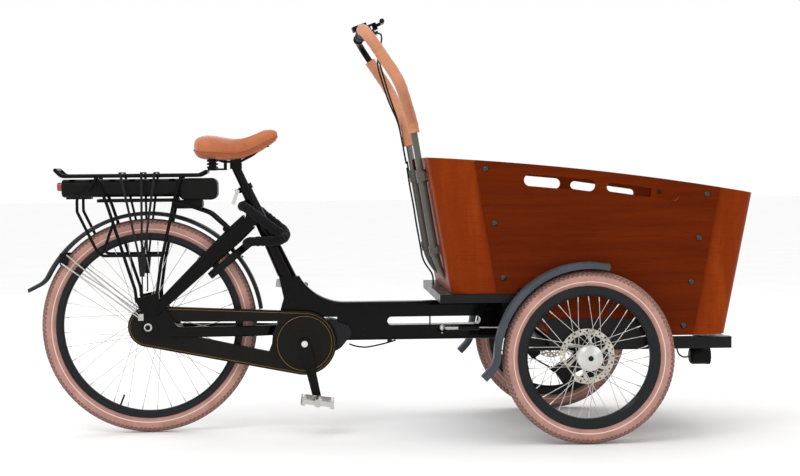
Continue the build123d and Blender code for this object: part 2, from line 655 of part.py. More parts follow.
def lock_arc(radius, first, last):
    """Arc of the lock's ring between two turns from its open side."""
    return CenterArc((0, 0), radius, lock_angle(first), lock_angle(last) - lock_angle(first))


def arc_bar(radius, first, last, thickness):
    """Round bar bent along the lock's ring."""
    path = lock_plane * lock_arc(radius, first, last)
    return sweep(Plane(origin=path @ 0, z_dir=path % 0) * Circle(thickness), path=path)


open_side = Pos(*on_circle(72, axle_angle)) * Rot(0, 0, axle_angle) * Rectangle(90, 74)
lock_face = Circle(LOCK_OUTER) - Circle(LOCK_BORE) - open_side
lock_body = extrude(lock_plane * lock_face, amount=11, both=True)
lock_body = chamfer(lock_body.edges().filter_by(GeomType.CIRCLE), 2)
key_head = Pos(*on_circle(78, lock_angle(180))) * Rot(0, 0, axle_angle) * RectangleRounded(26, 70, 6)
lock_body += extrude(lock_plane * key_head, amount=11, both=True)
lock_body -= extrude(lock_plane * Circle(LOCK_BORE), amount=20, both=True)
lock_body -= arc_bar(BOLT_PATH, -52, 136, BOLT_RADIUS + 0.35)
knob_slot = [arc_bar(BOLT_PATH, 38, 134, 3.4)]
for depth in (3, 6, 9, 12):
    knob_slot.append(Pos(*(Vector(*lock_normal) * -depth)) * arc_bar(BOLT_PATH, 40, 134, 3.4))
for cut in knob_slot:
    lock_body -= cut
save(lock_body, "ring_lock")

knob_x, knob_y = on_circle(BOLT_PATH, lock_angle(129))
knob_place = lock_plane * Pos(knob_x, knob_y, 0)
knob = knob_place * (Pos(0, 0, -9) * Cylinder(2.8, 18) + Pos(0, 0, -19) * Cylinder(7.5, 6))
save(arc_bar(BOLT_PATH, 42, 132, BOLT_RADIUS) + knob, "lock_bolt")


WRAP_ROUTE = [
    (299, -41, 574), (306, -63, 580), (340, -67, 582), (376, -54, 580), (404, -30, 584), (418, 0, 594),
    (410, 33, 612), (378, 54, 636), (342, 56, 666), (308, 42, 694), (283, 6, 686), (291, -36, 688),
    (316, -58, 670), (347, -66, 645), (377, -65, 622), (401, -56, 605),
]
sleeve = cable(WRAP_ROUTE, 12.5)
save(sleeve, "lock_chain")

# ---------------------------------------------------------------- steering damper
damper_eye = Pos(890, -55, 311.5) * (Cylinder(8.5, 12) - Cylinder(4.1, 12))
damper_pin = Pos(890, -55, 307) * Cylinder(3.9, 26)
silver_end = rod((898, -55, 311.5), (938, -55, 311.5), 7.5)
black_barrel = rod((938, -55, 311.5), (1003, -55, 311.5), 9.5, 4.1)
damper = damper_eye + silver_end + black_barrel
save(group(damper - damper_pin, damper_pin), "damper_body")
arm_x = PIVOT_X
rod_shaft = rod((968, -55, 311.5), (arm_x - 9, -55, 311.5), 4)
rod_eye = block(arm_x - 11, arm_x + 11, -67, -43, 307, 316) - block(arm_x - 5.8, arm_x + 5.8, -64, -40, 300, 320)
save(rod_shaft + rod_eye, "damper_rod")

# ---------------------------------------------------------------- front chassis
RAIL_Y = 285
TRAY_LOW, TRAY_HIGH = 407, 432


def chassis_side():
    """Rail, stub axle, brake flange, strut and side plate of the left-hand side."""
    rail = block(1090, 1722, RAIL_Y - 17, RAIL_Y + 17, 262, 296)
    rail -= block(1400, 1740, RAIL_Y - 14, RAIL_Y + 14, 265, 293)
    stub = rod((WHEELBASE, 330, FRONT_RADIUS), (WHEELBASE, 428, FRONT_RADIUS), 7.5)
    flange = slab(stadium((WHEELBASE, FRONT_RADIUS), 32, (1216, 201), 16), 336, 342)
    strut = slab(outline((1044, TRAY_LOW), (1074, TRAY_LOW), (1122, 290), (1092, 290)), RAIL_Y - 3, RAIL_Y + 3)
    plate = slab(
        outline((1176, 352), (1186, 357), (1452, 357), (1470, 345), (1470, 270), (1176, 270)),
        345.5, 349,
    )
    plate += block(1190, 1456, RAIL_Y + 10, 347, 290, 296)
    guard_arm = slab(stadium((1190, 332), 9, (1093, 442), 8), 345.5, 349)
    guard_arm += block(1086, 1100, 345.5, 354.6, 436, 448)
    return rail + stub + flange + strut + plate + guard_arm


axle_tube = rod((WHEELBASE, -338, FRONT_RADIUS), (WHEELBASE, 338, FRONT_RADIUS), 19)
yoke = slab(outline((1092, 240), (1300, 240), (1300, 258), (1092, 258)), -62, 62)
pin = Pos(PIVOT_X, 0, 325) * Cylinder(PIVOT_PIN_RADIUS, 166)
damper_post = Pos(PIVOT_X, -55, 286) * Cylinder(4, 60) + block(1120, 1140, -66, -40, 240, 258)
tray = block(861, 1160, -343, 343, TRAY_LOW, TRAY_HIGH) - block(864, 1157, -340, 340, TRAY_LOW - 5, TRAY_HIGH - 3)
for side in (-1, 1):
    tray -= Pos(1146, side * 340, TRAY_LOW) * Box(30, 9, 80)
tray += block(1088, 1160, -62, 62, 400, TRAY_HIGH)
for y in (-170, 170):
    tray += block(864, 1157, y - 12, y + 12, TRAY_HIGH - 12, TRAY_HIGH)
tray -= Pos(880, POST_Y, TRAY_HIGH) * Cylinder(9, 60)
chassis = axle_tube + yoke + pin + damper_post + tray
for x in (1172, 1470, 1690):
    chassis += block(x, x + 26, -RAIL_Y, RAIL_Y, 264, 294)
chassis += chassis_side() + mirror(chassis_side(), about=Plane.XZ)
LAMP_X, LAMP_Z = 1692, 208
lamp_ears = both_sides(slab(outline((1682, 270), (1706, 270), (1700, 236), (1688, 236)), 8, 11))
chassis = chassis + lamp_ears
chassis -= rod((1694, -20, 243), (1694, 20, 243), 2.6)
save(chassis, "front_chassis")

lamp_body = rod((1664, 0, LAMP_Z), (1716, 0, LAMP_Z), 27)
lamp_body = fillet(lamp_body.edges().filter_by(GeomType.CIRCLE).sort_by(Axis.X)[0], 12)
lamp_hood = rod((1716, 0, LAMP_Z), (1727, 0, LAMP_Z), 28, 24.5)
lamp_tab = slab(stadium((1694, 243), 5.5, (1694, 226), 9), -7, 7)
lamp_tab += rod((1694, -12.5, 243), (1694, 12.5, 243), 2.5)
lens = Pos(1716, 0, LAMP_Z) * Rot(0, 90, 0) * Cylinder(24, 7, align=(Align.CENTER, Align.CENTER, Align.MIN))
lead = cable([(1665, 0, 206), (1650, 2, 202), (1636, 8, 208), (1630, 18, 222), (1632, 28, 238)], 2.5)
save(group(lamp_body + lamp_hood + lamp_tab, lens, lead - lamp_body), "headlight")

# ---------------------------------------------------------------- box
under_top = make_face(
    ThreePointArc((760, 832), (1327, 785), (1860, 703)) + Polyline((1860, 703), (1860, 200), (760, 200), (760, 832))
)
top_trim = slab(under_top, -400, 400)


def rear_face(z):
    """Outside of the rear wall at a height."""
    return 829 + (827 - z) * 0.172


def front_face(z):
    """Outside of the front wall at a height."""
    return 1701 + (z - BOX_LOW) * 0.2024


def rear_seam(z):
    """Rear edge of the side panels at a height."""
    return 965 + (820 - z) * 0.16


def front_seam(z):
    """Front edge of the side panels at a height."""
    return 1598 + (z - BOX_LOW) * 0.186


SHELL_HALF_WIDTH = BOX_HALF_WIDTH - PLY - GAP
LAP = 60                               # how far the bent corners reach behind the side panels
DECK_LOW = 433


def bent_shell(wall, seam, lap, direction, corner, z_low, z_high):
    """Board bent round two corners; it leans, and its arms point along direction."""
    def hull(inset, low, high):
        near_low, near_high = wall(low) + direction * inset, wall(high) + direction * inset
        side = outline((near_low, low), (near_high, high), (near_high + far, high), (near_low + far, low))
        solid = slab(side, -SHELL_HALF_WIDTH + inset, SHELL_HALF_WIDTH - inset)
        upright = solid.edges().filter_by(lambda edge: abs(edge.tangent_at(0).Z) > 0.9).sort_by(Axis.X)
        return fillet(upright[:2] if direction > 0 else upright[-2:], corner - inset)

    far = direction * 400
    low, high = z_low - 20, z_high + 20
    lap_low, lap_high = seam(low) + lap, seam(high) + lap
    beyond_lap = outline((lap_low, low), (lap_high, high), (lap_high + far, high), (lap_low + far, low))
    board = hull(0, z_low, z_high) - hull(PLY, low, high) - slab(beyond_lap, -400, 400)
    return board & top_trim


def bolt_places():
    """Where the dome bolts join the side panels to the bent boards (x, z)."""
    rear = [(rear_seam(z) + 26, z) for z in (794, 637, 480)]
    front = [(front_seam(z) - 34, z) for z in (715, 588, 461, 334)]
    return rear + front


bolt_holes = [rod((x, -360, z), (x, 360, z), 3.2) for x, z in bolt_places()]

rear_shell = bent_shell(rear_face, rear_seam, LAP, 1, 55, DECK_LOW, 860)
front_shell = bent_shell(front_face, front_seam, -LAP, -1, 50, BOX_LOW, 800)
panel_outline = outline(
    (rear_seam(900), 900), (rear_seam(DECK_LOW), DECK_LOW), (1134, DECK_LOW), (1172, BOX_LOW),
    (front_seam(BOX_LOW), BOX_LOW), (front_seam(900), 900),
)
panel = slab(panel_outline, BOX_HALF_WIDTH - PLY, BOX_HALF_WIDTH) & top_trim
window_rear = Pos(1210, 752) * Rot(0, 0, -5.5) * SlotOverall(208, 34)
window_front = Pos(1452, 724) * Rot(0, 0, -8.5) * SlotOverall(212, 26)
panel -= slab(window_rear + window_front, 300, 400)
for hole in bolt_holes:
    panel -= hole
    rear_shell -= hole
    front_shell -= hole
save(both_sides(panel), "box_side_panels")
save(rear_shell, "box_rear_shell")
save(front_shell, "box_front_shell")

INNER_HALF_WIDTH = SHELL_HALF_WIDTH - PLY - GAP
footwell = block(1196, 1530, -SHELL_HALF_WIDTH, SHELL_HALF_WIDTH, BOX_LOW, BOX_LOW + PLY)
footwell += fillet(
    block(1500, 1691, -INNER_HALF_WIDTH, INNER_HALF_WIDTH, BOX_LOW, BOX_LOW + PLY).edges().filter_by(Axis.Z)
    .sort_by(Axis.X)[-2:], 42,
)

deck_board = fillet(
    block(908, 1080, -INNER_HALF_WIDTH, INNER_HALF_WIDTH, DECK_LOW, DECK_LOW + PLY).edges().filter_by(Axis.Z)
    .sort_by(Axis.X)[:2], 46,
)
riser_outline = outline(
    (1100, DECK_LOW), (1164, DECK_LOW), (1184, BOX_LOW), (1193, BOX_LOW), (1173, DECK_LOW + PLY), (1100, DECK_LOW + PLY),
)
deck_board += slab(riser_outline, -SHELL_HALF_WIDTH, SHELL_HALF_WIDTH)
deck_board += block(1070, 1110, -INNER_HALF_WIDTH, INNER_HALF_WIDTH, DECK_LOW, DECK_LOW + PLY)
deck_board -= rear_shell
save(group(deck_board, footwell), "box_floor")


def dome_bolt(x, z):
    """Dome-headed bolt of the left-hand side with its nut inside the box."""
    head = Pos(x, BOX_HALF_WIDTH, z) * Rot(-90, 0, 0) * (Sphere(10.5) & Pos(0, 0, 15) * Box(40, 40, 20))
    head = Pos(0, -5, 0) * head
    shank = rod((x, 322, z), (x, BOX_HALF_WIDTH + 0.2, z), 3)
    nut = Plane.XZ.offset(-(SHELL_HALF_WIDTH - PLY)) * Pos(x, z) * RegularPolygon(6.5, 6)
    return head + shank + extrude(nut, amount=4.5)


left_bolts = [dome_bolt(x, z) for x, z in reversed(bolt_places())]
right_bolts = [mirror(bolt, about=Plane.XZ) for bolt in left_bolts]
save(group(*right_bolts, *left_bolts), "box_bolts")

# ---------------------------------------------------------------- posts and handlebar
post_direction = Vector(-POST_SLOPE, 0, 1).normalized()


def post_side():
    """Fixed tube, its two clamps and its flattened foot, left-hand side."""
    top, low = post_axis(793, 1), post_axis(545, 1)
    tube = rod(low, top, POST_OUTER, POST_INNER + FIT)
    foot_end = Vector(892, POST_Y, 466)
    foot = loft([
        Plane(origin=low, z_dir=-post_direction, x_dir=(0, 1, 0)) * Ellipse(POST_OUTER, POST_OUTER),
        Plane(origin=low + Vector(9, 0, -32), z_dir=(0.24, 0, -1), x_dir=(0, 1, 0)) * Ellipse(POST_OUTER, 11),
        Plane(origin=foot_end, z_dir=(0.34, 0, -1), x_dir=(0, 1, 0)) * Ellipse(15, 4),
    ])
    side = tube + foot
    for z, height in ((774, 38), (553, 29)):
        middle = post_axis(z, 1)
        place = Plane(origin=middle, z_dir=post_direction, x_dir=(0, 1, 0))
        sleeve_clamp = place * (Cylinder(15.5, height) - Cylinder(POST_OUTER - 1, height + 2))
        ear = place * (Pos(18, 0, 0) * Box(12, 15, height * 0.7))
        foot_block = block(middle.X + 5, rear_face(z) + 12, POST_Y - 13, POST_Y + 13, z - 12, z + 12)
        side += sleeve_clamp + ear + foot_block - rod(low, top, POST_OUTER - 1)
    bolt_spot = post_axis(553, 1)
    side += rod(bolt_spot + Vector(-10, 19, 0), bolt_spot + Vector(-15, 19, 0), 4)
    return side


post_left = post_side() - rear_shell
post_right = mirror(post_left, about=Plane.XZ)
clamp_spot = post_axis(774, -1)
post_right += rod(clamp_spot + Vector(-6, -19, 0), clamp_spot + Vector(-14, -19, 0), 4.5)
pivot_spot = post_axis(774, 1) + Vector(-7, 18, 0)
post_left += rod(pivot_spot, pivot_spot + Vector(-10, 0, 0), 3)
save(group(post_left, post_right), "handlebar_posts")

lever_hub = rod(pivot_spot + Vector(-5, 0, 0), pivot_spot + Vector(-12, 0, 0), 7.5, 3 + FIT)
lever_arm = loft([
    Plane(origin=pivot_spot + Vector(-8, 0, 6), z_dir=(0, 0, 1)) * RectangleRounded(6, 11, 2),
    Plane(origin=pivot_spot + Vector(-14, 0, 46), z_dir=(0, 0, 1)) * RectangleRounded(5, 8, 2),
])
save(lever_hub + (lever_arm - rod(pivot_spot, pivot_spot + Vector(-20, 0, 0), 7)), "post_lever")

bar_side = [post_axis(935, 1), Vector(752, 292, 1052), Vector(BAR_X, 285, BAR_Z)]
BAR_BENDS = [60, 90, 70]


def mirrored(point):
    return Vector(point.X, -point.Y, point.Z)


bar_points = [post_axis(665, 1), *bar_side] + [mirrored(point) for point in reversed(bar_side)] + [post_axis(665, -1)]
bar = pipe([tuple(point) for point in bar_points], BAR_BENDS + BAR_BENDS[::-1], POST_INNER, POST_INNER - 2)
save(bar, "handlebar")

SLEEVE_RADIUS = 17
right_route = [post_axis(902, -1)] + [mirrored(point) for point in bar_side] + [Vector(BAR_X, -206, BAR_Z)]
right_sleeve = pipe([tuple(point) for point in right_route], BAR_BENDS, SLEEVE_RADIUS, POST_INNER + GAP)
upper_end = bar_side[2] + (bar_side[1] - bar_side[2]).normalized() * 72
left_route = [post_axis(868, 1), bar_side[0], bar_side[1], upper_end]
left_sleeve = pipe([tuple(point) for point in left_route], BAR_BENDS[:2], SLEEVE_RADIUS, POST_INNER + GAP)
save(group(left_sleeve, right_sleeve), "handlebar_sleeves")

# ---------------------------------------------------------------- controls on the crossbar
reach = Vector(0.93, 0, 0.3676)        # direction from the crossbar to the brake levers
lever_up = Vector(-0.3676, 0, 0.93)
bar_middle = Vector(BAR_X, 0, BAR_Z)


def bar_ring(outer, y_low, y_high, bore=POST_INNER + GAP):
    """Ring around the crossbar."""
    return rod((BAR_X, y_low, BAR_Z), (BAR_X, y_high, BAR_Z), outer, bore)


def lever_bracket():
    """Clamp and forked bracket of the left-hand brake lever."""
    pivot = bar_middle + reach * 40 + Vector(0, 158, 0)
    along = Plane(origin=pivot, x_dir=(0, 1, 0), z_dir=lever_up)
    arm = along * (Pos(-4, 16, 0) * Box(38, 30, 21))
    fork_gap = along * (Pos(4, -2, 0) * Box(60, 30, 11.4))
    pin_bar = along * Cylinder(2.9, 23)
    body = arm - fork_gap + along * (Cylinder(7.5, 21) - Cylinder(9, 11.4)) + pin_bar
    barrel = rod(pivot - Vector(0, 22, 0) - reach * 14, pivot - Vector(0, 46, 0) - reach * 14, 4.6)
    return bar_ring(16, 146, 170) + (body + barrel - rod((BAR_X, 100, BAR_Z), (BAR_X, 200, BAR_Z), POST_INNER + GAP))


bracket = lever_bracket()
controls = [bracket, mirror(bracket, about=Plane.XZ)]
controls.append(bar_ring(18, -205.6, -199))
controls.append(bar_ring(13.2, 182, 216))
display = Pos(BAR_X - 2, 0, BAR_Z + 24) * Rot(0, -20, 0) * fillet(Box(46, 66, 14).edges().filter_by(Axis.Z), 8)
display += bar_ring(15, -24, -12) + bar_ring(15, 12, 24)
display += block(BAR_X - 10, BAR_X + 6, -24, 24, BAR_Z + 12, BAR_Z + 20)
controls.append(display - rod((BAR_X, -40, BAR_Z), (BAR_X, 40, BAR_Z), POST_INNER + GAP))
bell_spot = Vector(BAR_X + 26, 60, BAR_Z + 6)
bell_dome = Pos(*bell_spot) * (Sphere(19) & Pos(0, 0, 12) * Box(50, 50, 24))
bell = bell_dome + Pos(bell_spot.X, bell_spot.Y, bell_spot.Z - 3) * Cylinder(16, 6)
bell += bar_ring(14.5, 52, 68) - Pos(*bell_spot) * Sphere(10)
controls.append(bell - rod((BAR_X, 35, BAR_Z), (BAR_X, 85, BAR_Z), POST_INNER + GAP))
save(group(*controls), "handlebar_controls")

grip = bar_ring(15.5, -118, -72, POST_INNER + FIT)
for number in range(12):
    rib_x, rib_z = on_circle(15.5, 30 * number, (BAR_X, BAR_Z))
    grip += rod((rib_x, -114, rib_z), (rib_x, -84, rib_z), 1.6)
save(grip - rod((BAR_X, -130, BAR_Z), (BAR_X, -60, BAR_Z), POST_INNER + FIT), "gear_shifter")


def brake_lever():
    """Left-hand brake lever with a ball end, seen from above its plane."""
    pivot = bar_middle + reach * 40 + Vector(0, 158, 0)
    plane = Plane(origin=pivot, x_dir=(0, 1, 0), z_dir=lever_up)
    forward = 1 if plane.y_dir.dot(reach) > 0 else -1
    knee = (18, forward * 22)
    tip = (112, forward * 18)
    root = plane * (Cylinder(7.2, 10.8) - Cylinder(2.9 + FIT, 12))
    blade = extrude(plane * (stadium((0, 0), 7, knee, 6) - Circle(7.1)), amount=4.5, both=True)
    blade += extrude(plane * stadium(knee, 6, tip, 4.5), amount=4.5, both=True)
    ball = plane * Pos(tip[0] + 3, tip[1], 0) * Sphere(7.5)
    return root + blade + ball


left_lever = brake_lever()
save(left_lever, "brake_lever_left")
save(mirror(left_lever, about=Plane.XZ), "brake_lever_right")

# ---------------------------------------------------------------- calipers
def caliper():
    """Disc brake caliper of the left-hand wheel, straddling the rotor from behind."""
    place = Pos(1216, 201) * Rot(0, 0, 125)
    body = slab(place * RectangleRounded(64, 36, 8), 342.2, 366)
    body -= slab(Pos(WHEELBASE, FRONT_RADIUS) * Circle(83), 355.6, 360.4)
    body -= slab(Pos(WHEELBASE, FRONT_RADIUS) * Circle(58), 340, 370)
    body += slab(place * Pos(14, 6) * Circle(11), 366, 368)
    inlet = rod((1192, 352, 208), (1178, 350, 218), 5.5)
    return body + inlet


left_caliper = caliper()
save(both_sides(left_caliper), "brake_calipers")

# ---------------------------------------------------------------- cables
CABLE_RADIUS = 2.6


def beside_post(z, behind, sideways):
    """Point beside the left-hand post."""
    spot = post_axis(z, 1)
    return (spot.X - behind, spot.Y + sideways, z)


upper_routes = [
    [(674, 111.2, 1213.6), (676, 90, 1210), (690, 78, 1194), (702, 76, 1166), (712, 82, 1128), (728, 104, 1074), (748, 132, 1012),
     beside_post(950, 22, -14), beside_post(886, 20, -5), beside_post(812, 19, -5)],
    [(674, -111.2, 1213.6), (677, -90, 1212), (694, -68, 1208), (712, -52, 1204), (716, -8, 1190), (708, 36, 1160), (704, 62, 1118),
     (722, 92, 1062), (742, 120, 1004), beside_post(944, 23, -24), beside_post(884, 20, -12), beside_post(812, 19, -12)],
]
save(group(*[cable(route, CABLE_RADIUS) for route in upper_routes]), "handlebar_cables")

lower_routes = [
    [beside_post(800, 19, shift), beside_post(740, 20.5, shift), beside_post(680, 19, shift),
     beside_post(620, 20.5, shift), beside_post(560, 19.5, shift), beside_post(505, 20, shift),
     (879, POST_Y + shift / 2, 462), (880, POST_Y + shift / 2, 428)]
    for shift in (-5, -12)
]
hose = [(1177, 349, 219), (1164, 345, 226), (1146, 336, 236), (1126, 322, 250), (1112, 308, 264)]
lower = [cable(route, CABLE_RADIUS) for route in lower_routes]
left_hose = cable(hose, 2.5)
save(group(*lower, left_hose, mirror(left_hose, about=Plane.XZ)), "brake_hoses")

motor_lead = cable(
    [(606, -20, 262), (628, -20, 254), (656, -16, 250), (690, -10, 255), (722, -6, 262), (750, -5, 269.8)], 2.5,
)
clip = block(724, 738, -12, 2, 266, 273)
slot_lead = rod((855, -20, 319.2), (855, -20, 343.8), 2.5)
save(group(motor_lead, clip - motor_lead, slot_lead), "frame_cable")
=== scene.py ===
"""Looks of the cargo tricycle: camera, light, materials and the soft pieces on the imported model."""
import bpy
from math import asin, atan2, cos, hypot, pi, radians, sin
from mathutils import Matrix, Vector


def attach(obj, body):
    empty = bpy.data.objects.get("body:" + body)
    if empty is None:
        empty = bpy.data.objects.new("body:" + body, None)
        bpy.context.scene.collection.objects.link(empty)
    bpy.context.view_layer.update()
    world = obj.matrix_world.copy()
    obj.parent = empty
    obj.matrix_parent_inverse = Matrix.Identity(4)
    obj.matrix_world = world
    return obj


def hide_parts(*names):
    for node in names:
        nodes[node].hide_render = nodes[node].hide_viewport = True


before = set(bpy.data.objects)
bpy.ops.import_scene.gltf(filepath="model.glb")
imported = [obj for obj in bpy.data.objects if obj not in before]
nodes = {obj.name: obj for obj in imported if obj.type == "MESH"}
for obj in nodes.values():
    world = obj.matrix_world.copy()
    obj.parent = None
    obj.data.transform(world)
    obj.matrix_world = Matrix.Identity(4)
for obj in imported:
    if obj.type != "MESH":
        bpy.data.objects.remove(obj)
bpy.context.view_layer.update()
CENTRE = 0.7115                      # rear axle to the middle of the vehicle
REAR_RADIUS = 0.326                  # outside of the rear tyre
FRONT_RADIUS = 0.250                 # outside of a front tyre
FRONT_X = 1.285                      # rear axle to the front axle
TRACK_HALF = 0.385                   # middle of the vehicle to a front wheel
CRANK_X, CRANK_Z = 0.470, 0.270      # crank axle
CRANK_LENGTH = 0.172
LAMP_HEIGHT = 0.208


# ---------------------------------------------------------------- material kit
class Graph:
    """A material's node tree with short calls for the nodes it needs."""

    def __init__(self, name):
        self.material = bpy.data.materials.new(name)
        self.material.use_nodes = True
        self.tree = self.material.node_tree
        self.shader = self.tree.nodes["Principled BSDF"]
        self.place = self.add("ShaderNodeTexCoord").outputs["Object"]

    def add(self, kind, **settings):
        node = self.tree.nodes.new(kind)
        for key, value in settings.items():
            setattr(node, key, value)
        return node

    def link(self, value, socket):
        if isinstance(value, bpy.types.NodeSocket):
            self.tree.links.new(value, socket)
        else:
            socket.default_value = value

    def math(self, kind, first, second=0.0, third=0.0):
        node = self.add("ShaderNodeMath", operation=kind)
        for value, socket in zip((first, second, third), node.inputs):
            self.link(value, socket)
        return node.outputs[0]

    def noise(self, scale, detail=4.0, rough=0.55, stretch=None):
        node = self.add("ShaderNodeTexNoise")
        source = self.place
        if stretch:
            source = self.stretched(stretch)
        self.link(source, node.inputs["Vector"])
        self.link(scale, node.inputs["Scale"])
        self.link(detail, node.inputs["Detail"])
        self.link(rough, node.inputs["Roughness"])
        return node.outputs["Fac"]

    def cells(self, scale, stretch=None):
        node = self.add("ShaderNodeTexVoronoi")
        self.link(self.stretched(stretch) if stretch else self.place, node.inputs["Vector"])
        self.link(scale, node.inputs["Scale"])
        return node.outputs["Distance"]

    def stretched(self, factors):
        node = self.add("ShaderNodeMapping")
        self.link(self.place, node.inputs["Vector"])
        node.inputs["Scale"].default_value = factors
        return node.outputs["Vector"]

    def ramp(self, value, *stops):
        node = self.add("ShaderNodeValToRGB")
        while len(node.color_ramp.elements) < len(stops):
            node.color_ramp.elements.new(0.5)
        for element, (position, colour) in zip(node.color_ramp.elements, stops):
            element.position = position
            element.color = (*colour, 1)
        self.link(value, node.inputs["Fac"])
        return node.outputs["Color"]

    def grey(self, value, low, high, out_low=0.0, out_high=1.0):
        node = self.add("ShaderNodeMapRange")
        for number, part in enumerate((value, low, high, out_low, out_high)):
            self.link(part, node.inputs[number])
        return node.outputs["Result"]

    def mix(self, factor, first, second, kind="MIX"):
        node = self.add("ShaderNodeMix", data_type="RGBA", blend_type=kind)
        self.link(factor, node.inputs["Factor"])
        for value, socket in ((first, node.inputs[6]), (second, node.inputs[7])):
            self.link((*value, 1) if isinstance(value, tuple) else value, socket)
        return node.outputs[2]

    def axes(self):
        node = self.add("ShaderNodeSeparateXYZ")
        self.link(self.place, node.inputs[0])
        return node.outputs

    def bump(self, height, strength=0.3, distance=0.001, below=None):
        node = self.add("ShaderNodeBump")
        node.inputs["Strength"].default_value = strength
        node.inputs["Distance"].default_value = distance
        self.link(height, node.inputs["Height"])
        if below is not None:
            self.link(below, node.inputs["Normal"])
        return node.outputs["Normal"]

    def finish(self, colour, rough, normal=None, **constants):
        self.link((*colour, 1) if isinstance(colour, tuple) else colour, self.shader.inputs["Base Color"])
        self.link(rough, self.shader.inputs["Roughness"])
        if normal is not None:
            self.link(normal, self.shader.inputs["Normal"])
        for key, value in constants.items():
            self.shader.inputs[key.replace("_", " ")].default_value = value
        return self.material


def shade(colour, factor):
    return tuple(min(1.0, part * factor) for part in colour)


def paint(name, colour, rough=0.22, coat=0.6, fleck=0.10, specular=0.3):
    """Sprayed enamel: faint orange peel, dust and softly varying gloss."""
    g = Graph(name)
    cloud = g.noise(7, 5)
    base = g.mix(g.grey(cloud, 0.3, 0.7), shade(colour, 1 - fleck), shade(colour, 1 + 2 * fleck))
    dust = g.grey(g.noise(160, 3), 0.62, 0.8)
    base = g.mix(g.math("MULTIPLY", dust, 0.03), base, (0.30, 0.29, 0.27))
    gloss = g.grey(g.noise(22, 4), 0.3, 0.75, rough * 0.75, rough * 1.5)
    peel = g.bump(g.noise(420, 2), 0.06, 0.0006)
    return g.finish(base, gloss, peel, Coat_Weight=coat, Coat_Roughness=0.08, Specular_IOR_Level=specular)


def plastic(name, colour, rough=0.45):
    """Moulded plastic with fine spark-eroded grain."""
    g = Graph(name)
    base = g.mix(g.grey(g.noise(12, 5), 0.3, 0.7), shade(colour, 0.85), shade(colour, 1.25))
    scuffs = g.grey(g.noise(60, 6, 0.7, (1, 0.25, 2.4)), 0.64, 0.78)
    base = g.mix(g.math("MULTIPLY", scuffs, 0.25), base, shade(colour, 2.2))
    grain = g.bump(g.cells(900), 0.22, 0.0004)
    gloss = g.grey(g.noise(35), 0.3, 0.7, rough * 0.85, rough * 1.2)
    return g.finish(base, gloss, grain, Specular_IOR_Level=0.12)


def metal(name, colour, rough=0.3, stretch=(1, 1, 1), strength=0.10):
    """Bare metal with drawn or turned marks and a little tarnish."""
    g = Graph(name)
    base = g.mix(g.grey(g.noise(16, 5), 0.3, 0.7), shade(colour, 0.82), shade(colour, 1.12))
    marks = g.noise(700, 3, 0.6, stretch)
    spots = g.grey(g.noise(90, 5), 0.68, 0.78)
    base = g.mix(g.math("MULTIPLY", spots, 0.3), base, shade(colour, 0.35))
    gloss = g.grey(marks, 0.3, 0.7, rough * 0.75, rough * 1.3)
    return g.finish(base, gloss, g.bump(marks, strength, 0.0004), Metallic=1.0)


def rubber(name, colour, rough=0.62, pore=700):
    """Rubber with a dull bloom and pores."""
    g = Graph(name)
    base = g.mix(g.grey(g.noise(14, 5), 0.3, 0.7), shade(colour, 0.8), shade(colour, 1.2))
    gloss = g.grey(g.noise(40), 0.3, 0.7, rough * 0.9, rough * 1.15)
    return g.finish(base, gloss, g.bump(g.noise(pore, 3), 0.25, 0.0005), Specular_IOR_Level=0.15)


def timber(name, dark, light, stretch=(0.5, 3, 9), rough=0.30):
    """Lacquered plywood face: long figure, pores and lighter streaks."""
    g = Graph(name)
    figure = g.noise(5.5, 6, 0.62, stretch)
    pores = g.noise(60, 4, 0.7, (0.35, 3, 7))
    base = g.ramp(figure, (0.30, dark), (0.5, shade(dark, 1.2)), (0.64, light), (0.80, shade(dark, 1.05)))
    fine = g.grey(pores, 0.52, 0.72)
    base = g.mix(g.math("MULTIPLY", fine, 0.45), base, shade(dark, 0.45))
    normal = g.bump(pores, 0.16, 0.0006, g.bump(figure, 0.08, 0.001))
    gloss = g.grey(figure, 0.3, 0.7, rough * 0.85, rough * 1.3)
    return g.finish(base, gloss, normal, Coat_Weight=0.02, Coat_Roughness=0.14, Specular_IOR_Level=0.02)


def leather(name, colour, scale=420, rough=0.45):
    """Waxed leather: pebbled grain, creases and lighter rubbed edges."""
    g = Graph(name)
    pebbles = g.cells(scale)
    creases = g.noise(45, 6, 0.65)
    base = g.mix(g.grey(g.noise(9, 5), 0.3, 0.7), shade(colour, 0.78), shade(colour, 1.15))
    base = g.mix(g.math("MULTIPLY", g.grey(creases, 0.58, 0.7), 0.35), base, shade(colour, 0.5))
    pointed = g.add("ShaderNodeNewGeometry").outputs["Pointiness"]
    base = g.mix(g.grey(pointed, 0.5, 0.56, 0, 0.5), base, shade(colour, 1.35))
    normal = g.bump(pebbles, 0.30, 0.0006, g.bump(creases, 0.15, 0.001))
    return g.finish(base, g.grey(creases, 0.3, 0.7, rough * 0.8, rough * 1.25), normal, Sheen_Weight=0.12)


def fabric(name, colour):
    """Tightly woven nylon."""
    g = Graph(name)
    x, y, z = g.axes()
    warp = g.math("SINE", g.math("MULTIPLY", g.math("ADD", x, y), 2600))
    weft = g.math("SINE", g.math("MULTIPLY", g.math("ADD", z, g.math("MULTIPLY", x, -0.6)), 2600))
    weave = g.math("MULTIPLY", warp, weft)
    base = g.mix(g.grey(weave, -1, 1), shade(colour, 0.6), shade(colour, 1.4))
    base = g.mix(g.grey(g.noise(20, 4), 0.35, 0.7, 0, 0.4), base, shade(colour, 1.6))
    return g.finish(base, 0.8, g.bump(weave, 0.5, 0.0006), Sheen_Weight=0.06, Specular_IOR_Level=0.12)


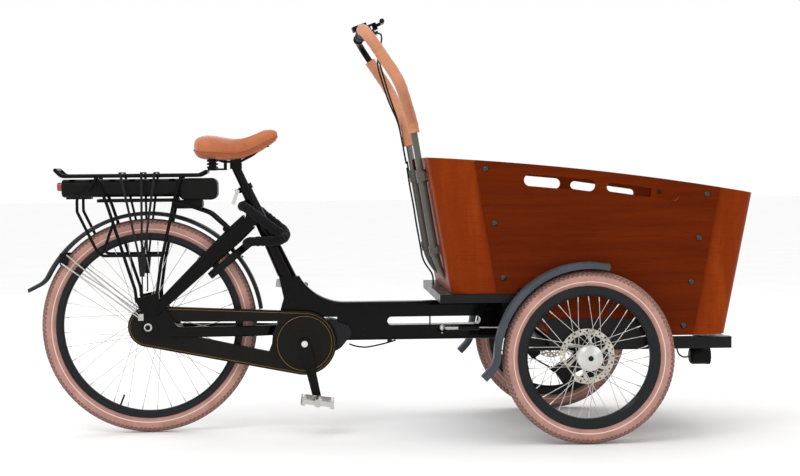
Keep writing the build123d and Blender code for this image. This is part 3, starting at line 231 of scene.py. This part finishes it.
def lens(name, colour, rough=0.12):
    """Moulded lens with prisms behind its face."""
    g = Graph(name)
    x, y, z = g.axes()
    across = g.math("SINE", g.math("MULTIPLY", y, 1400))
    upward = g.math("SINE", g.math("MULTIPLY", z, 1400))
    prisms = g.math("MULTIPLY", across, upward)
    base = g.mix(g.grey(prisms, -1, 1), shade(colour, 0.72), colour)
    return g.finish(base, rough, g.bump(prisms, 0.3, 0.0008), Coat_Weight=1.0, Transmission_Weight=0.15)


def tyre(name, centre, radius):
    """Pale brown rubber with a cream reflective line, a shoulder darkened with painted shade that is darkest
    in the grooves between tread blocks, and tread blocks.
    """
    g = Graph(name)
    x, y, z = g.axes()
    dx = g.math("SUBTRACT", x, centre[0])
    dz = g.math("SUBTRACT", z, centre[2])
    dy = g.math("SUBTRACT", y, centre[1])
    reach = g.math("SQRT", g.math("ADD", g.math("MULTIPLY", dx, dx), g.math("MULTIPLY", dz, dz)))
    angle = g.math("ARCTAN2", dz, dx)
    brown, cream, dark = (0.42, 0.212, 0.172), (0.70, 0.56, 0.48), (0.13, 0.085, 0.075)
    base = g.mix(g.grey(g.noise(25, 5), 0.3, 0.7), shade(brown, 0.82), shade(brown, 1.15))
    stripe = g.math("COMPARE", reach, radius - 0.0315, 0.0014)
    base = g.mix(stripe, base, cream)
    blocks = g.math("SINE", g.math("MULTIPLY", angle, round(radius * 2 * pi / 0.0145)))
    rows = g.math("SINE", g.math("MULTIPLY", dy, 520))
    tread = g.grey(g.math("MULTIPLY", blocks, rows), -0.25, 0.25)
    on_tread = g.grey(reach, radius - 0.0135, radius - 0.0115)
    # Painted shade: the shoulder band is darkened, most in the grooves between tread blocks and least on the
    # block tops.
    base = g.mix(g.math("MULTIPLY", on_tread, g.grey(tread, 0, 1, 0.85, 0.15)), base, dark)
    ribbed = g.math("COMPARE", reach, radius - 0.0165, 0.004)
    ribs = g.math("MULTIPLY", g.math("SINE", g.math("MULTIPLY", angle, 260)), ribbed)
    normal = g.bump(g.math("MULTIPLY", tread, on_tread), 0.8, 0.0022, g.bump(ribs, 0.3, 0.0008))
    normal = g.bump(g.noise(600, 2), 0.12, 0.0004, normal)
    return g.finish(base, g.grey(g.noise(60), 0.3, 0.7, 0.55, 0.75), normal)


# ---------------------------------------------------------------- colours, linear
black_paint = paint("black_enamel", (0.0022, 0.0022, 0.0025), 0.16, 0.10, 0.1, 0.06)
dark_paint = paint("dark_grey_enamel", (0.008, 0.008, 0.009), 0.30, 0.08, 0.1, 0.1)
rack_paint = paint("rack_enamel", (0.0030, 0.0030, 0.0034), 0.28, 0.05, 0.1, 0.06)
bolt_paint = paint("blackened_steel", (0.018, 0.007, 0.005), 0.22, 0.5)
post_paint = paint("warm_grey_enamel", (0.095, 0.090, 0.078), 0.38, 0.2)
black_plastic = plastic("black_plastic", (0.0042, 0.0040, 0.0038))
case_plastic = plastic("chain_case_plastic", (0.0062, 0.0046, 0.0034), 0.30)
grey_plastic = plastic("fender_plastic", (0.055, 0.064, 0.078), 0.36)
dark_fender = plastic("rear_fender_plastic", (0.022, 0.023, 0.025), 0.35)
motor_metal = paint("motor_coating", (0.013, 0.013, 0.015), 0.42, 0.04, 0.1, 0.1)
silver = metal("satin_aluminium", (0.62, 0.61, 0.58), 0.30)
bright = metal("polished_steel", (0.66, 0.66, 0.64), 0.18)
brushed = metal("brushed_steel", (0.52, 0.51, 0.49), 0.32, (1, 0.15, 1), 0.2)
rim_metal = paint("rim_anodising", (0.010, 0.0115, 0.0135), 0.34, 0.08, 0.1, 0.12)
warm_disc = metal("disc_steel", (0.56, 0.52, 0.45), 0.30, (3, 0.2, 3), 0.2)
far_tube_lit_metal = metal("post_tube_metal", (0.17, 0.165, 0.15), 0.28, (1, 1, 0.2))
gold = metal("gold_trim", (0.34, 0.20, 0.055), 0.25)
panel_wood = timber("red_brown_plywood", (0.092, 0.0108, 0.0008), (0.128, 0.0165, 0.0014))
corner_wood = timber("amber_plywood", (0.178, 0.024, 0.0022), (0.26, 0.042, 0.0045), (3, 3, 0.5))
floor_wood = timber("floor_plywood", (0.090, 0.020, 0.005), (0.17, 0.045, 0.012))
saddle_leather = leather("saddle_leather", (0.43, 0.115, 0.032))
sleeve_leather = leather("sleeve_leather", (0.50, 0.20, 0.095), 520, 0.5)
collar_rubber = rubber("collar_rubber", (0.27, 0.19, 0.17), 0.5)
thread = fabric("stitch_thread", (0.62, 0.50, 0.36))
grey_rubber = rubber("grey_rubber", (0.011, 0.0115, 0.0125))
black_rubber = rubber("black_rubber", (0.008, 0.008, 0.008), 0.5)
tread_rubber = rubber("tread_rubber", (0.20, 0.115, 0.098), 0.6)
sleeve_fabric = fabric("chain_sleeve_fabric", (0.0045, 0.0045, 0.0055))
red_lens = lens("red_lens", (0.45, 0.008, 0.006))
white_lens = lens("white_lens", (0.80, 0.80, 0.76))
cream_lens = lens("reflector_lens", (0.75, 0.66, 0.48))
rear_centre = (-CENTRE, 0, REAR_RADIUS)
right_centre = (FRONT_X - CENTRE, -TRACK_HALF, FRONT_RADIUS)
left_centre = (FRONT_X - CENTRE, TRACK_HALF, FRONT_RADIUS)
rear_rubber = tyre("rear_tyre_rubber", rear_centre, REAR_RADIUS)
right_rubber = tyre("right_tyre_rubber", right_centre, FRONT_RADIUS)
left_rubber = tyre("left_tyre_rubber", left_centre, FRONT_RADIUS)

finish = {
    "main_beam": black_paint, "seat_tube": black_paint, "rear_triangle": black_paint,
    "mid_motor": motor_metal, "chain_case": case_plastic, "drive_chain": brushed,
    "rear_carrier": rack_paint, "luggage_straps": grey_rubber,
    "battery_cradle": black_plastic, "rear_fender": dark_fender, "rear_fender_stays": brushed,
    "ring_lock": black_plastic, "lock_chain": sleeve_fabric, "rear_axle": silver, "seat_collar": black_paint,
    "damper_body": dark_paint, "frame_cable": black_rubber, "battery": black_plastic, "rear_light": red_lens,
    "seat_lever": bright, "seat_post": black_paint, "saddle_frame": black_paint, "saddle": saddle_leather,
    "chainring": brushed, "crank_arms": black_paint, "pedal_left": brushed, "pedal_right": brushed,
    "rear_sprocket": brushed, "rear_tyre": rear_rubber, "rear_rim": rim_metal, "rear_hub": silver,
    "lock_bolt": bright, "front_chassis": dark_paint, "box_side_panels": panel_wood,
    "box_front_shell": corner_wood, "box_rear_shell": corner_wood, "box_floor": floor_wood,
    "box_bolts": bolt_paint,
    "handlebar_posts": post_paint, "front_fenders": grey_plastic, "brake_calipers": black_paint,
    "brake_hoses": black_rubber, "handlebar": black_paint, "handlebar_sleeves": sleeve_leather,
    "handlebar_controls": black_plastic, "handlebar_cables": black_rubber, "brake_lever_left": dark_paint,
    "brake_lever_right": dark_paint, "gear_shifter": black_rubber, "post_lever": black_plastic,
    "headlight": black_plastic, "damper_rod": bright,
    "front_right_tyre": right_rubber, "front_left_tyre": left_rubber,
}
for side in ("left", "right"):
    finish[f"front_{side}_rim"] = rim_metal
    finish[f"front_{side}_hub"] = silver
    finish[f"front_{side}_rotor"] = warm_disc


def repaint(name, chosen, material):
    """Gives the faces of a CAD node that a test picks by their middle a second material."""
    obj = nodes[name]
    obj.data.materials.append(material)
    number = len(obj.data.materials) - 1
    for face in obj.data.polygons:
        if chosen(face.center):
            face.material_index = number


for name, material in finish.items():
    data = nodes[name].data
    data.materials.clear()
    data.materials.append(material)
    for face in data.polygons:
        face.material_index = 0

repaint("headlight", lambda p: p.x > 1.7158 - CENTRE and hypot(p.y, p.z - LAMP_HEIGHT) < 0.0243, white_lens)


def on_reflector(middle_x, middle_z):
    """Test for the reflector faces of a pedal that stands 8 degrees off level."""
    def test(p):
        along = (p.x - middle_x) * cos(radians(8)) - (p.z - middle_z) * sin(radians(8))
        return 0.0432 < abs(along) < 0.0448 and 0.112 < abs(p.y) < 0.167
    return test


swing_x, swing_z = CRANK_LENGTH * sin(radians(12.5)), CRANK_LENGTH * cos(radians(12.5))
repaint("pedal_right", on_reflector(CRANK_X - CENTRE + swing_x, CRANK_Z - swing_z), cream_lens)
repaint("pedal_left", on_reflector(CRANK_X - CENTRE - swing_x, CRANK_Z + swing_z), cream_lens)
repaint("damper_body", lambda p: p.x < 0.938 - CENTRE, silver)
repaint("rear_axle", lambda p: abs(p.y) > 0.084, black_plastic)
repaint("rear_fender_stays", lambda p: p.x < -0.238 - CENTRE, black_plastic)
# Both inner tubes share one finish on the real vehicle; the far tube's lighter bare metal is painted light,
# copying the reflection it caught.
repaint("handlebar", lambda p: p.z < 0.95 and p.y < 0, post_paint)
repaint("handlebar", lambda p: p.z < 0.95 and p.y > 0, far_tube_lit_metal)
repaint("handlebar_controls", lambda p: -0.2065 < p.y < -0.1985, collar_rubber)
repaint("crank_arms", lambda p: abs(p.y) > 0.0852, bright)


# ---------------------------------------------------------------- small makers
def mesh_object(name, points, faces, material, smooth=True):
    data = bpy.data.meshes.new(name)
    data.from_pydata([tuple(point) for point in points], [], faces)
    data.materials.append(material)
    obj = bpy.data.objects.new(name, data)
    bpy.context.scene.collection.objects.link(obj)
    if smooth:
        for face in data.polygons:
            face.use_smooth = True
    return obj


def tube(name, route, radius, material, closed=False):
    """Round line along a smooth curve."""
    curve = bpy.data.curves.new(name, "CURVE")
    curve.dimensions = "3D"
    curve.bevel_depth = radius
    curve.bevel_resolution = 4
    curve.resolution_u = 4
    spline = curve.splines.new("POLY")
    spline.points.add(len(route) - 1)
    for point, spot in zip(spline.points, route):
        point.co = (*spot, 1)
    spline.use_cyclic_u = closed
    curve.materials.append(material)
    obj = bpy.data.objects.new(name, curve)
    bpy.context.scene.collection.objects.link(obj)
    return obj


def apply_modifiers(obj):
    graph = bpy.context.evaluated_depsgraph_get()
    data = bpy.data.meshes.new_from_object(obj.evaluated_get(graph))
    obj.modifiers.clear()
    obj.data = data


def soft_copy(node, name, voxel):
    """Even mesh of a CAD solid, ready to be shaped as a soft piece."""
    obj = bpy.data.objects.new(name, nodes[node].data.copy())
    bpy.context.scene.collection.objects.link(obj)
    even = obj.modifiers.new("even", "REMESH")
    even.mode = "VOXEL"
    even.voxel_size = voxel
    apply_modifiers(obj)
    return obj


# ---------------------------------------------------------------- saddle
SADDLE = (                           # x from the rear axle, half width, low and high edge
    (0.1405, 0.018, 0.855, 0.875), (0.1435, 0.050, 0.845, 0.889), (0.152, 0.077, 0.836, 0.897),
    (0.170, 0.093, 0.831, 0.902), (0.202, 0.098, 0.829, 0.901), (0.236, 0.079, 0.829, 0.894),
    (0.268, 0.057, 0.830, 0.889), (0.300, 0.043, 0.836, 0.894), (0.331, 0.035, 0.850, 0.9065),
    (0.356, 0.031, 0.864, 0.917), (0.377, 0.027, 0.877, 0.921), (0.390, 0.018, 0.886, 0.918),
    (0.3945, 0.007, 0.896, 0.909),
)
AROUND = 32


def saddle_point(station, turn, proud=0.0):
    """Point of the cover's section: round shoulders, a pressed channel on top, a flatter underside."""
    x, half, low, high = station
    across, upward = cos(turn), sin(turn)
    y = (half + proud) * (abs(across) ** 0.75) * (1 if across > 0 else -1)
    tall = (high - low) / 2 + proud
    z = (low + high) / 2 + tall * (abs(upward) ** 0.8) * (1 if upward > 0 else -1)
    if upward > 0 and 0.16 < x < 0.36:
        z -= 0.0045 * max(0.0, 1 - (y / 0.020) ** 2) * sin(pi * (x - 0.16) / 0.20)
    return Vector((x - CENTRE, y, z))


saddle_points = [saddle_point(row, 2 * pi * number / AROUND) for row in SADDLE for number in range(AROUND)]
saddle_faces = []
for row in range(len(SADDLE) - 1):
    for number in range(AROUND):
        beside = (number + 1) % AROUND
        here, ahead_row = row * AROUND, (row + 1) * AROUND
        saddle_faces.append((here + number, here + beside, ahead_row + beside, ahead_row + number))
saddle_faces.append(tuple(reversed(range(AROUND))))
saddle_faces.append(tuple((len(SADDLE) - 1) * AROUND + number for number in range(AROUND)))
saddle = mesh_object("saddle_cover", saddle_points, saddle_faces, saddle_leather)
finer = saddle.modifiers.new("finer", "SUBSURF")
finer.levels = finer.render_levels = 2
apply_modifiers(saddle)
rest = [vertex.co.copy() for vertex in saddle.data.vertices]
cloth = saddle.modifiers.new("swell", "CLOTH")
cloth.settings.use_pressure = True
cloth.settings.uniform_pressure_force = 4
cloth.settings.effector_weights.gravity = 0
cloth.settings.quality = 4
cloth.collision_settings.use_collision = False
for number in range(1, 21):
    bpy.context.scene.frame_set(number)
apply_modifiers(saddle)
bpy.context.scene.frame_set(1)
for vertex, before in zip(saddle.data.vertices, rest):
    move = vertex.co - before
    if move.length > 0.003:
        vertex.co = before + move.normalized() * 0.003
for face in saddle.data.polygons:
    face.use_smooth = True
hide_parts("saddle")
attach(saddle, "seat")

seam_turn = -0.42
piping_route = [saddle_point(row, seam_turn, 0.0022) for row in SADDLE]
piping_route += [saddle_point(row, pi - seam_turn, 0.0022) for row in reversed(SADDLE)]
piping = tube("saddle_piping", piping_route, 0.0017, leather("piping_leather", (0.27, 0.065, 0.018)), True)
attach(piping, "seat")

# ---------------------------------------------------------------- handlebar sleeves
BAR = Vector((0.650 - CENTRE, 0, 1.204))


def post_spot(z, side):
    return Vector((0.803 + (0.893 - z) * 0.165 - CENTRE, side * 0.165, z))


def loop_route(side, first, last):
    """Middle of the handlebar tube from a post to the crossbar, on one side."""
    return [
        first, post_spot(0.935, side), Vector((0.752 - CENTRE, side * 0.292, 1.052)),
        Vector((BAR.x, side * 0.285, BAR.z)), last,
    ]


def nearest(route, spot):
    """Nearest point of a polyline, its direction and the length up to it."""
    best, length = None, 0.0
    for start, end in zip(route, route[1:]):
        run = end - start
        share = min(1.0, max(0.0, (spot - start).dot(run) / run.length_squared))
        on_line = start + run * share
        gap = (spot - on_line).length
        if best is None or gap < best[0]:
            best = (gap, on_line, run.normalized(), length + run.length * share)
        length += run.length
    return best


sleeves = soft_copy("handlebar_sleeves", "leather_sleeves", 0.003)
routes = [
    loop_route(-1, post_spot(0.902, -1), Vector((BAR.x, -0.206, BAR.z))),
    loop_route(1, post_spot(0.868, 1), Vector((BAR.x, 0.206, BAR.z))),
]
for vertex in sleeves.data.vertices:
    side_route = routes[0] if vertex.co.y < 0 else routes[1]
    gap, spot, along, length = nearest(side_route, vertex.co)
    out = vertex.co - spot
    if out.length > 0.0135:
        wrinkle = 0.00035 * sin(length * 230 + 2.2 * sin(length * 61))
        wrinkle += 0.0003 * sin(length * 610 + 9 * out.y / 0.017)
        vertex.co += out.normalized() * wrinkle
sleeves.data.materials.clear()
sleeves.data.materials.append(sleeve_leather)
for face in sleeves.data.polygons:
    face.use_smooth = True
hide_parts("handlebar_sleeves")
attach(sleeves, "bars")

stitch_data = bpy.data.curves.new("sleeve_stitches", "CURVE")
stitch_data.dimensions = "3D"
stitch_data.bevel_depth = 0.0006
stitch_data.bevel_resolution = 2
for route in routes:
    for start, end in zip(route, route[1:]):
        run = end - start
        inward = run.normalized().cross(Vector((0, 1, 0))).normalized()
        if inward.x > 0:
            inward = -inward
        steps = int(run.length / 0.008)
        for number in range(7, steps - 7):
            spot = start + run * (number / steps) + inward * 0.0171
            spline = stitch_data.splines.new("POLY")
            spline.points.add(1)
            spline.points[0].co = (*(spot - run.normalized() * 0.0022), 1)
            spline.points[1].co = (*(spot + run.normalized() * 0.0022), 1)
stitch_data.materials.append(thread)
stitches = bpy.data.objects.new("sleeve_stitches", stitch_data)
bpy.context.scene.collection.objects.link(stitches)
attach(stitches, "bars")

# ---------------------------------------------------------------- woven sleeve of the lock chain
chain_route = [
    (0.299, -0.041, 0.574), (0.306, -0.063, 0.580), (0.340, -0.067, 0.582), (0.376, -0.054, 0.580),
    (0.404, -0.030, 0.584), (0.418, 0, 0.594), (0.410, 0.033, 0.612), (0.378, 0.054, 0.636),
    (0.342, 0.056, 0.666), (0.308, 0.042, 0.694), (0.283, 0.006, 0.686), (0.291, -0.036, 0.688),
    (0.316, -0.058, 0.670), (0.347, -0.066, 0.645), (0.377, -0.065, 0.622), (0.401, -0.056, 0.605),
]
chain_route = [Vector((x - CENTRE, y, z)) for x, y, z in chain_route]
chain_cover = soft_copy("lock_chain", "chain_cover", 0.003)
for vertex in chain_cover.data.vertices:
    gap, spot, along, length = nearest(chain_route, vertex.co)
    fold = 0.0010 * sin(length * 300 + 1.5 * sin(length * 97))
    fold += 0.0004 * sin(length * 720 + vertex.co.y * 300)
    vertex.co += vertex.normal * (fold + 0.0022)
chain_cover.data.materials.clear()
chain_cover.data.materials.append(sleeve_fabric)
for face in chain_cover.data.polygons:
    face.use_smooth = True
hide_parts("lock_chain")
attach(chain_cover, "frame")

# ---------------------------------------------------------------- trim on the chain case
def stadium_route(first, first_radius, second, second_radius, y, steps=40):
    """Belt line round two circles in the side view."""
    dx, dz = second[0] - first[0], second[1] - first[1]
    lean = atan2(dz, dx)
    opening = asin((second_radius - first_radius) / hypot(dx, dz))
    route = []
    for number in range(steps + 1):
        turn = lean + pi / 2 + opening + (pi - 2 * opening) * number / steps
        x, z = first[0] + first_radius * cos(turn), first[1] + first_radius * sin(turn)
        route.append((x - CENTRE, y, z))
    for number in range(steps + 1):
        turn = lean - pi / 2 - opening + (pi + 2 * opening) * number / steps
        x, z = second[0] + second_radius * cos(turn), second[1] + second_radius * sin(turn)
        route.append((x - CENTRE, y, z))
    return route


case_edge = stadium_route((0, 0.327), 0.0555, (CRANK_X, CRANK_Z), 0.0905, -0.0622)
trim = tube("case_trim", case_edge, 0.0006, gold, True)
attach(trim, "frame")
ring_turns = [2 * pi * number / 72 for number in range(72)]
cover_centre = Vector((CRANK_X - CENTRE, -0.0676, CRANK_Z))
ring_route = [cover_centre + Vector((0.0825 * cos(turn), 0, 0.0825 * sin(turn))) for turn in ring_turns]
ring_trim = tube("cover_trim", ring_route, 0.0007, gold, True)
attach(ring_trim, "frame")

# ---------------------------------------------------------------- tread knobs of the tyres
TYRE_HALF = 0.0235                   # half the tyre's width


def tread(name, centre, radius, body):
    """Rows of raised knobs on the shoulders of a tyre."""
    points, faces = [], []
    count = round(2 * pi * radius / 0.0145)
    for number in range(count):
        for lean, shift in ((-60, 0.5), (-36, 0.0), (36, 0.5), (60, 0.0)):
            turn = 2 * pi * (number + shift) / count
            base = len(points)
            for height, narrow in ((0.0220, 1.0), (0.0248, 0.72)):
                for side_turn, side_lean in ((-1, -1), (1, -1), (1, 1), (-1, 1)):
                    around = turn + side_turn * narrow * 0.0045 / radius
                    section = radians(lean + side_lean * narrow * 9)
                    reach = radius - TYRE_HALF + height * cos(section)
                    knob = Vector((reach * cos(around), height * sin(section), reach * sin(around)))
                    points.append(Vector(centre) + knob)
            low, high = (base, base + 1, base + 2, base + 3), (base + 4, base + 5, base + 6, base + 7)
            faces.append(low[::-1])
            faces.append(high)
            for corner in range(4):
                beside = (corner + 1) % 4
                faces.append((low[corner], low[beside], high[beside], high[corner]))
    knobs = mesh_object(name, points, faces, tread_rubber, False)
    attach(knobs, body)


tread("rear_tread", rear_centre, REAR_RADIUS, "rear_wheel")
tread("front_right_tread", right_centre, FRONT_RADIUS, "front_wheel_right")
tread("front_left_tread", left_centre, FRONT_RADIUS, "front_wheel_left")

# ---------------------------------------------------------------- domed face of the headlight
dome_points, dome_faces = [], []
RINGS, SPANS = 8, 40
for ring_number in range(RINGS + 1):
    share = ring_number / RINGS
    for number in range(SPANS):
        turn = 2 * pi * number / SPANS
        reach = 0.0240 * share
        depth = 0.0075 * share ** 2
        dome_points.append((1.7305 - CENTRE - depth, reach * cos(turn), LAMP_HEIGHT + reach * sin(turn)))
for ring_number in range(RINGS):
    for number in range(SPANS):
        near, beside = ring_number * SPANS + number, ring_number * SPANS + (number + 1) % SPANS
        dome_faces.append((near, beside, beside + SPANS, near + SPANS))
lamp_face = mesh_object("headlight_face", dome_points, dome_faces, white_lens)
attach(lamp_face, "lamp")

# ---------------------------------------------------------------- floor, light and camera
floor_material = Graph("studio_floor")
clouds = floor_material.grey(floor_material.noise(3, 3), 0.3, 0.7)
floor_tone = floor_material.mix(clouds, (0.94, 0.94, 0.94), (0.97, 0.97, 0.97))
floor_material.finish(floor_tone, 0.9)
ground_corners = [(x, y, -0.0005) for x, y in ((-40, -40), (40, -40), (40, 40), (-40, 40))]
ground = mesh_object("studio_ground", ground_corners, [(0, 1, 2, 3)], floor_material.material, False)


def area_light(name, spot, target, size, power, colour=(1, 1, 1)):
    data = bpy.data.lights.new(name, "AREA")
    data.shape = "RECTANGLE"
    data.size, data.size_y = size
    data.energy = power
    data.color = colour
    obj = bpy.data.objects.new(name, data)
    bpy.context.scene.collection.objects.link(obj)
    obj.location = spot
    obj.rotation_euler = (Vector(target) - Vector(spot)).to_track_quat("-Z", "Y").to_euler()


area_light("key", (-2.2, -3.2, 4.2), (0, 0, 0.5), (2.2, 1.4), 55)
area_light("fill", (3.4, -3.0, 2.4), (0.2, 0, 0.5), (2.0, 2.0), 14, (1, 0.98, 0.95))
area_light("back", (0.5, 4.0, 3.4), (0, 0, 0.6), (4.0, 2.0), 35)
area_light("top", (0, 0, 4.6), (0, 0, 0), (4.2, 3.0), 20)

world = bpy.data.worlds.new("studio")
world.use_nodes = True
world.node_tree.nodes["Background"].inputs["Color"].default_value = (1, 1, 1, 1)
world.node_tree.nodes["Background"].inputs["Strength"].default_value = 1.0
bpy.context.scene.world = world
bpy.context.scene.view_settings.view_transform = "Standard"

YAW, PITCH, ROLL = radians(3.256), radians(-2.262), radians(-0.524)
ahead = Vector((sin(YAW) * cos(PITCH), cos(YAW) * cos(PITCH), sin(PITCH)))
right = Vector((cos(YAW), -sin(YAW), 0))
above = right.cross(ahead)
turned_right = right * cos(ROLL) + above * sin(ROLL)
turned_up = above * cos(ROLL) - right * sin(ROLL)
rotation = Matrix((turned_right, turned_up, -ahead)).transposed().to_4x4()
camera_data = bpy.data.cameras.new("photo_camera")
camera_data.sensor_width = 36
camera_data.lens = 78.0
camera_data.clip_end = 100
camera = bpy.data.objects.new("photo_camera", camera_data)
bpy.context.scene.collection.objects.link(camera)
camera.matrix_world = Matrix.Translation((-0.2474, -5.3139, 0.7942)) @ rotation
bpy.context.scene.camera = camera
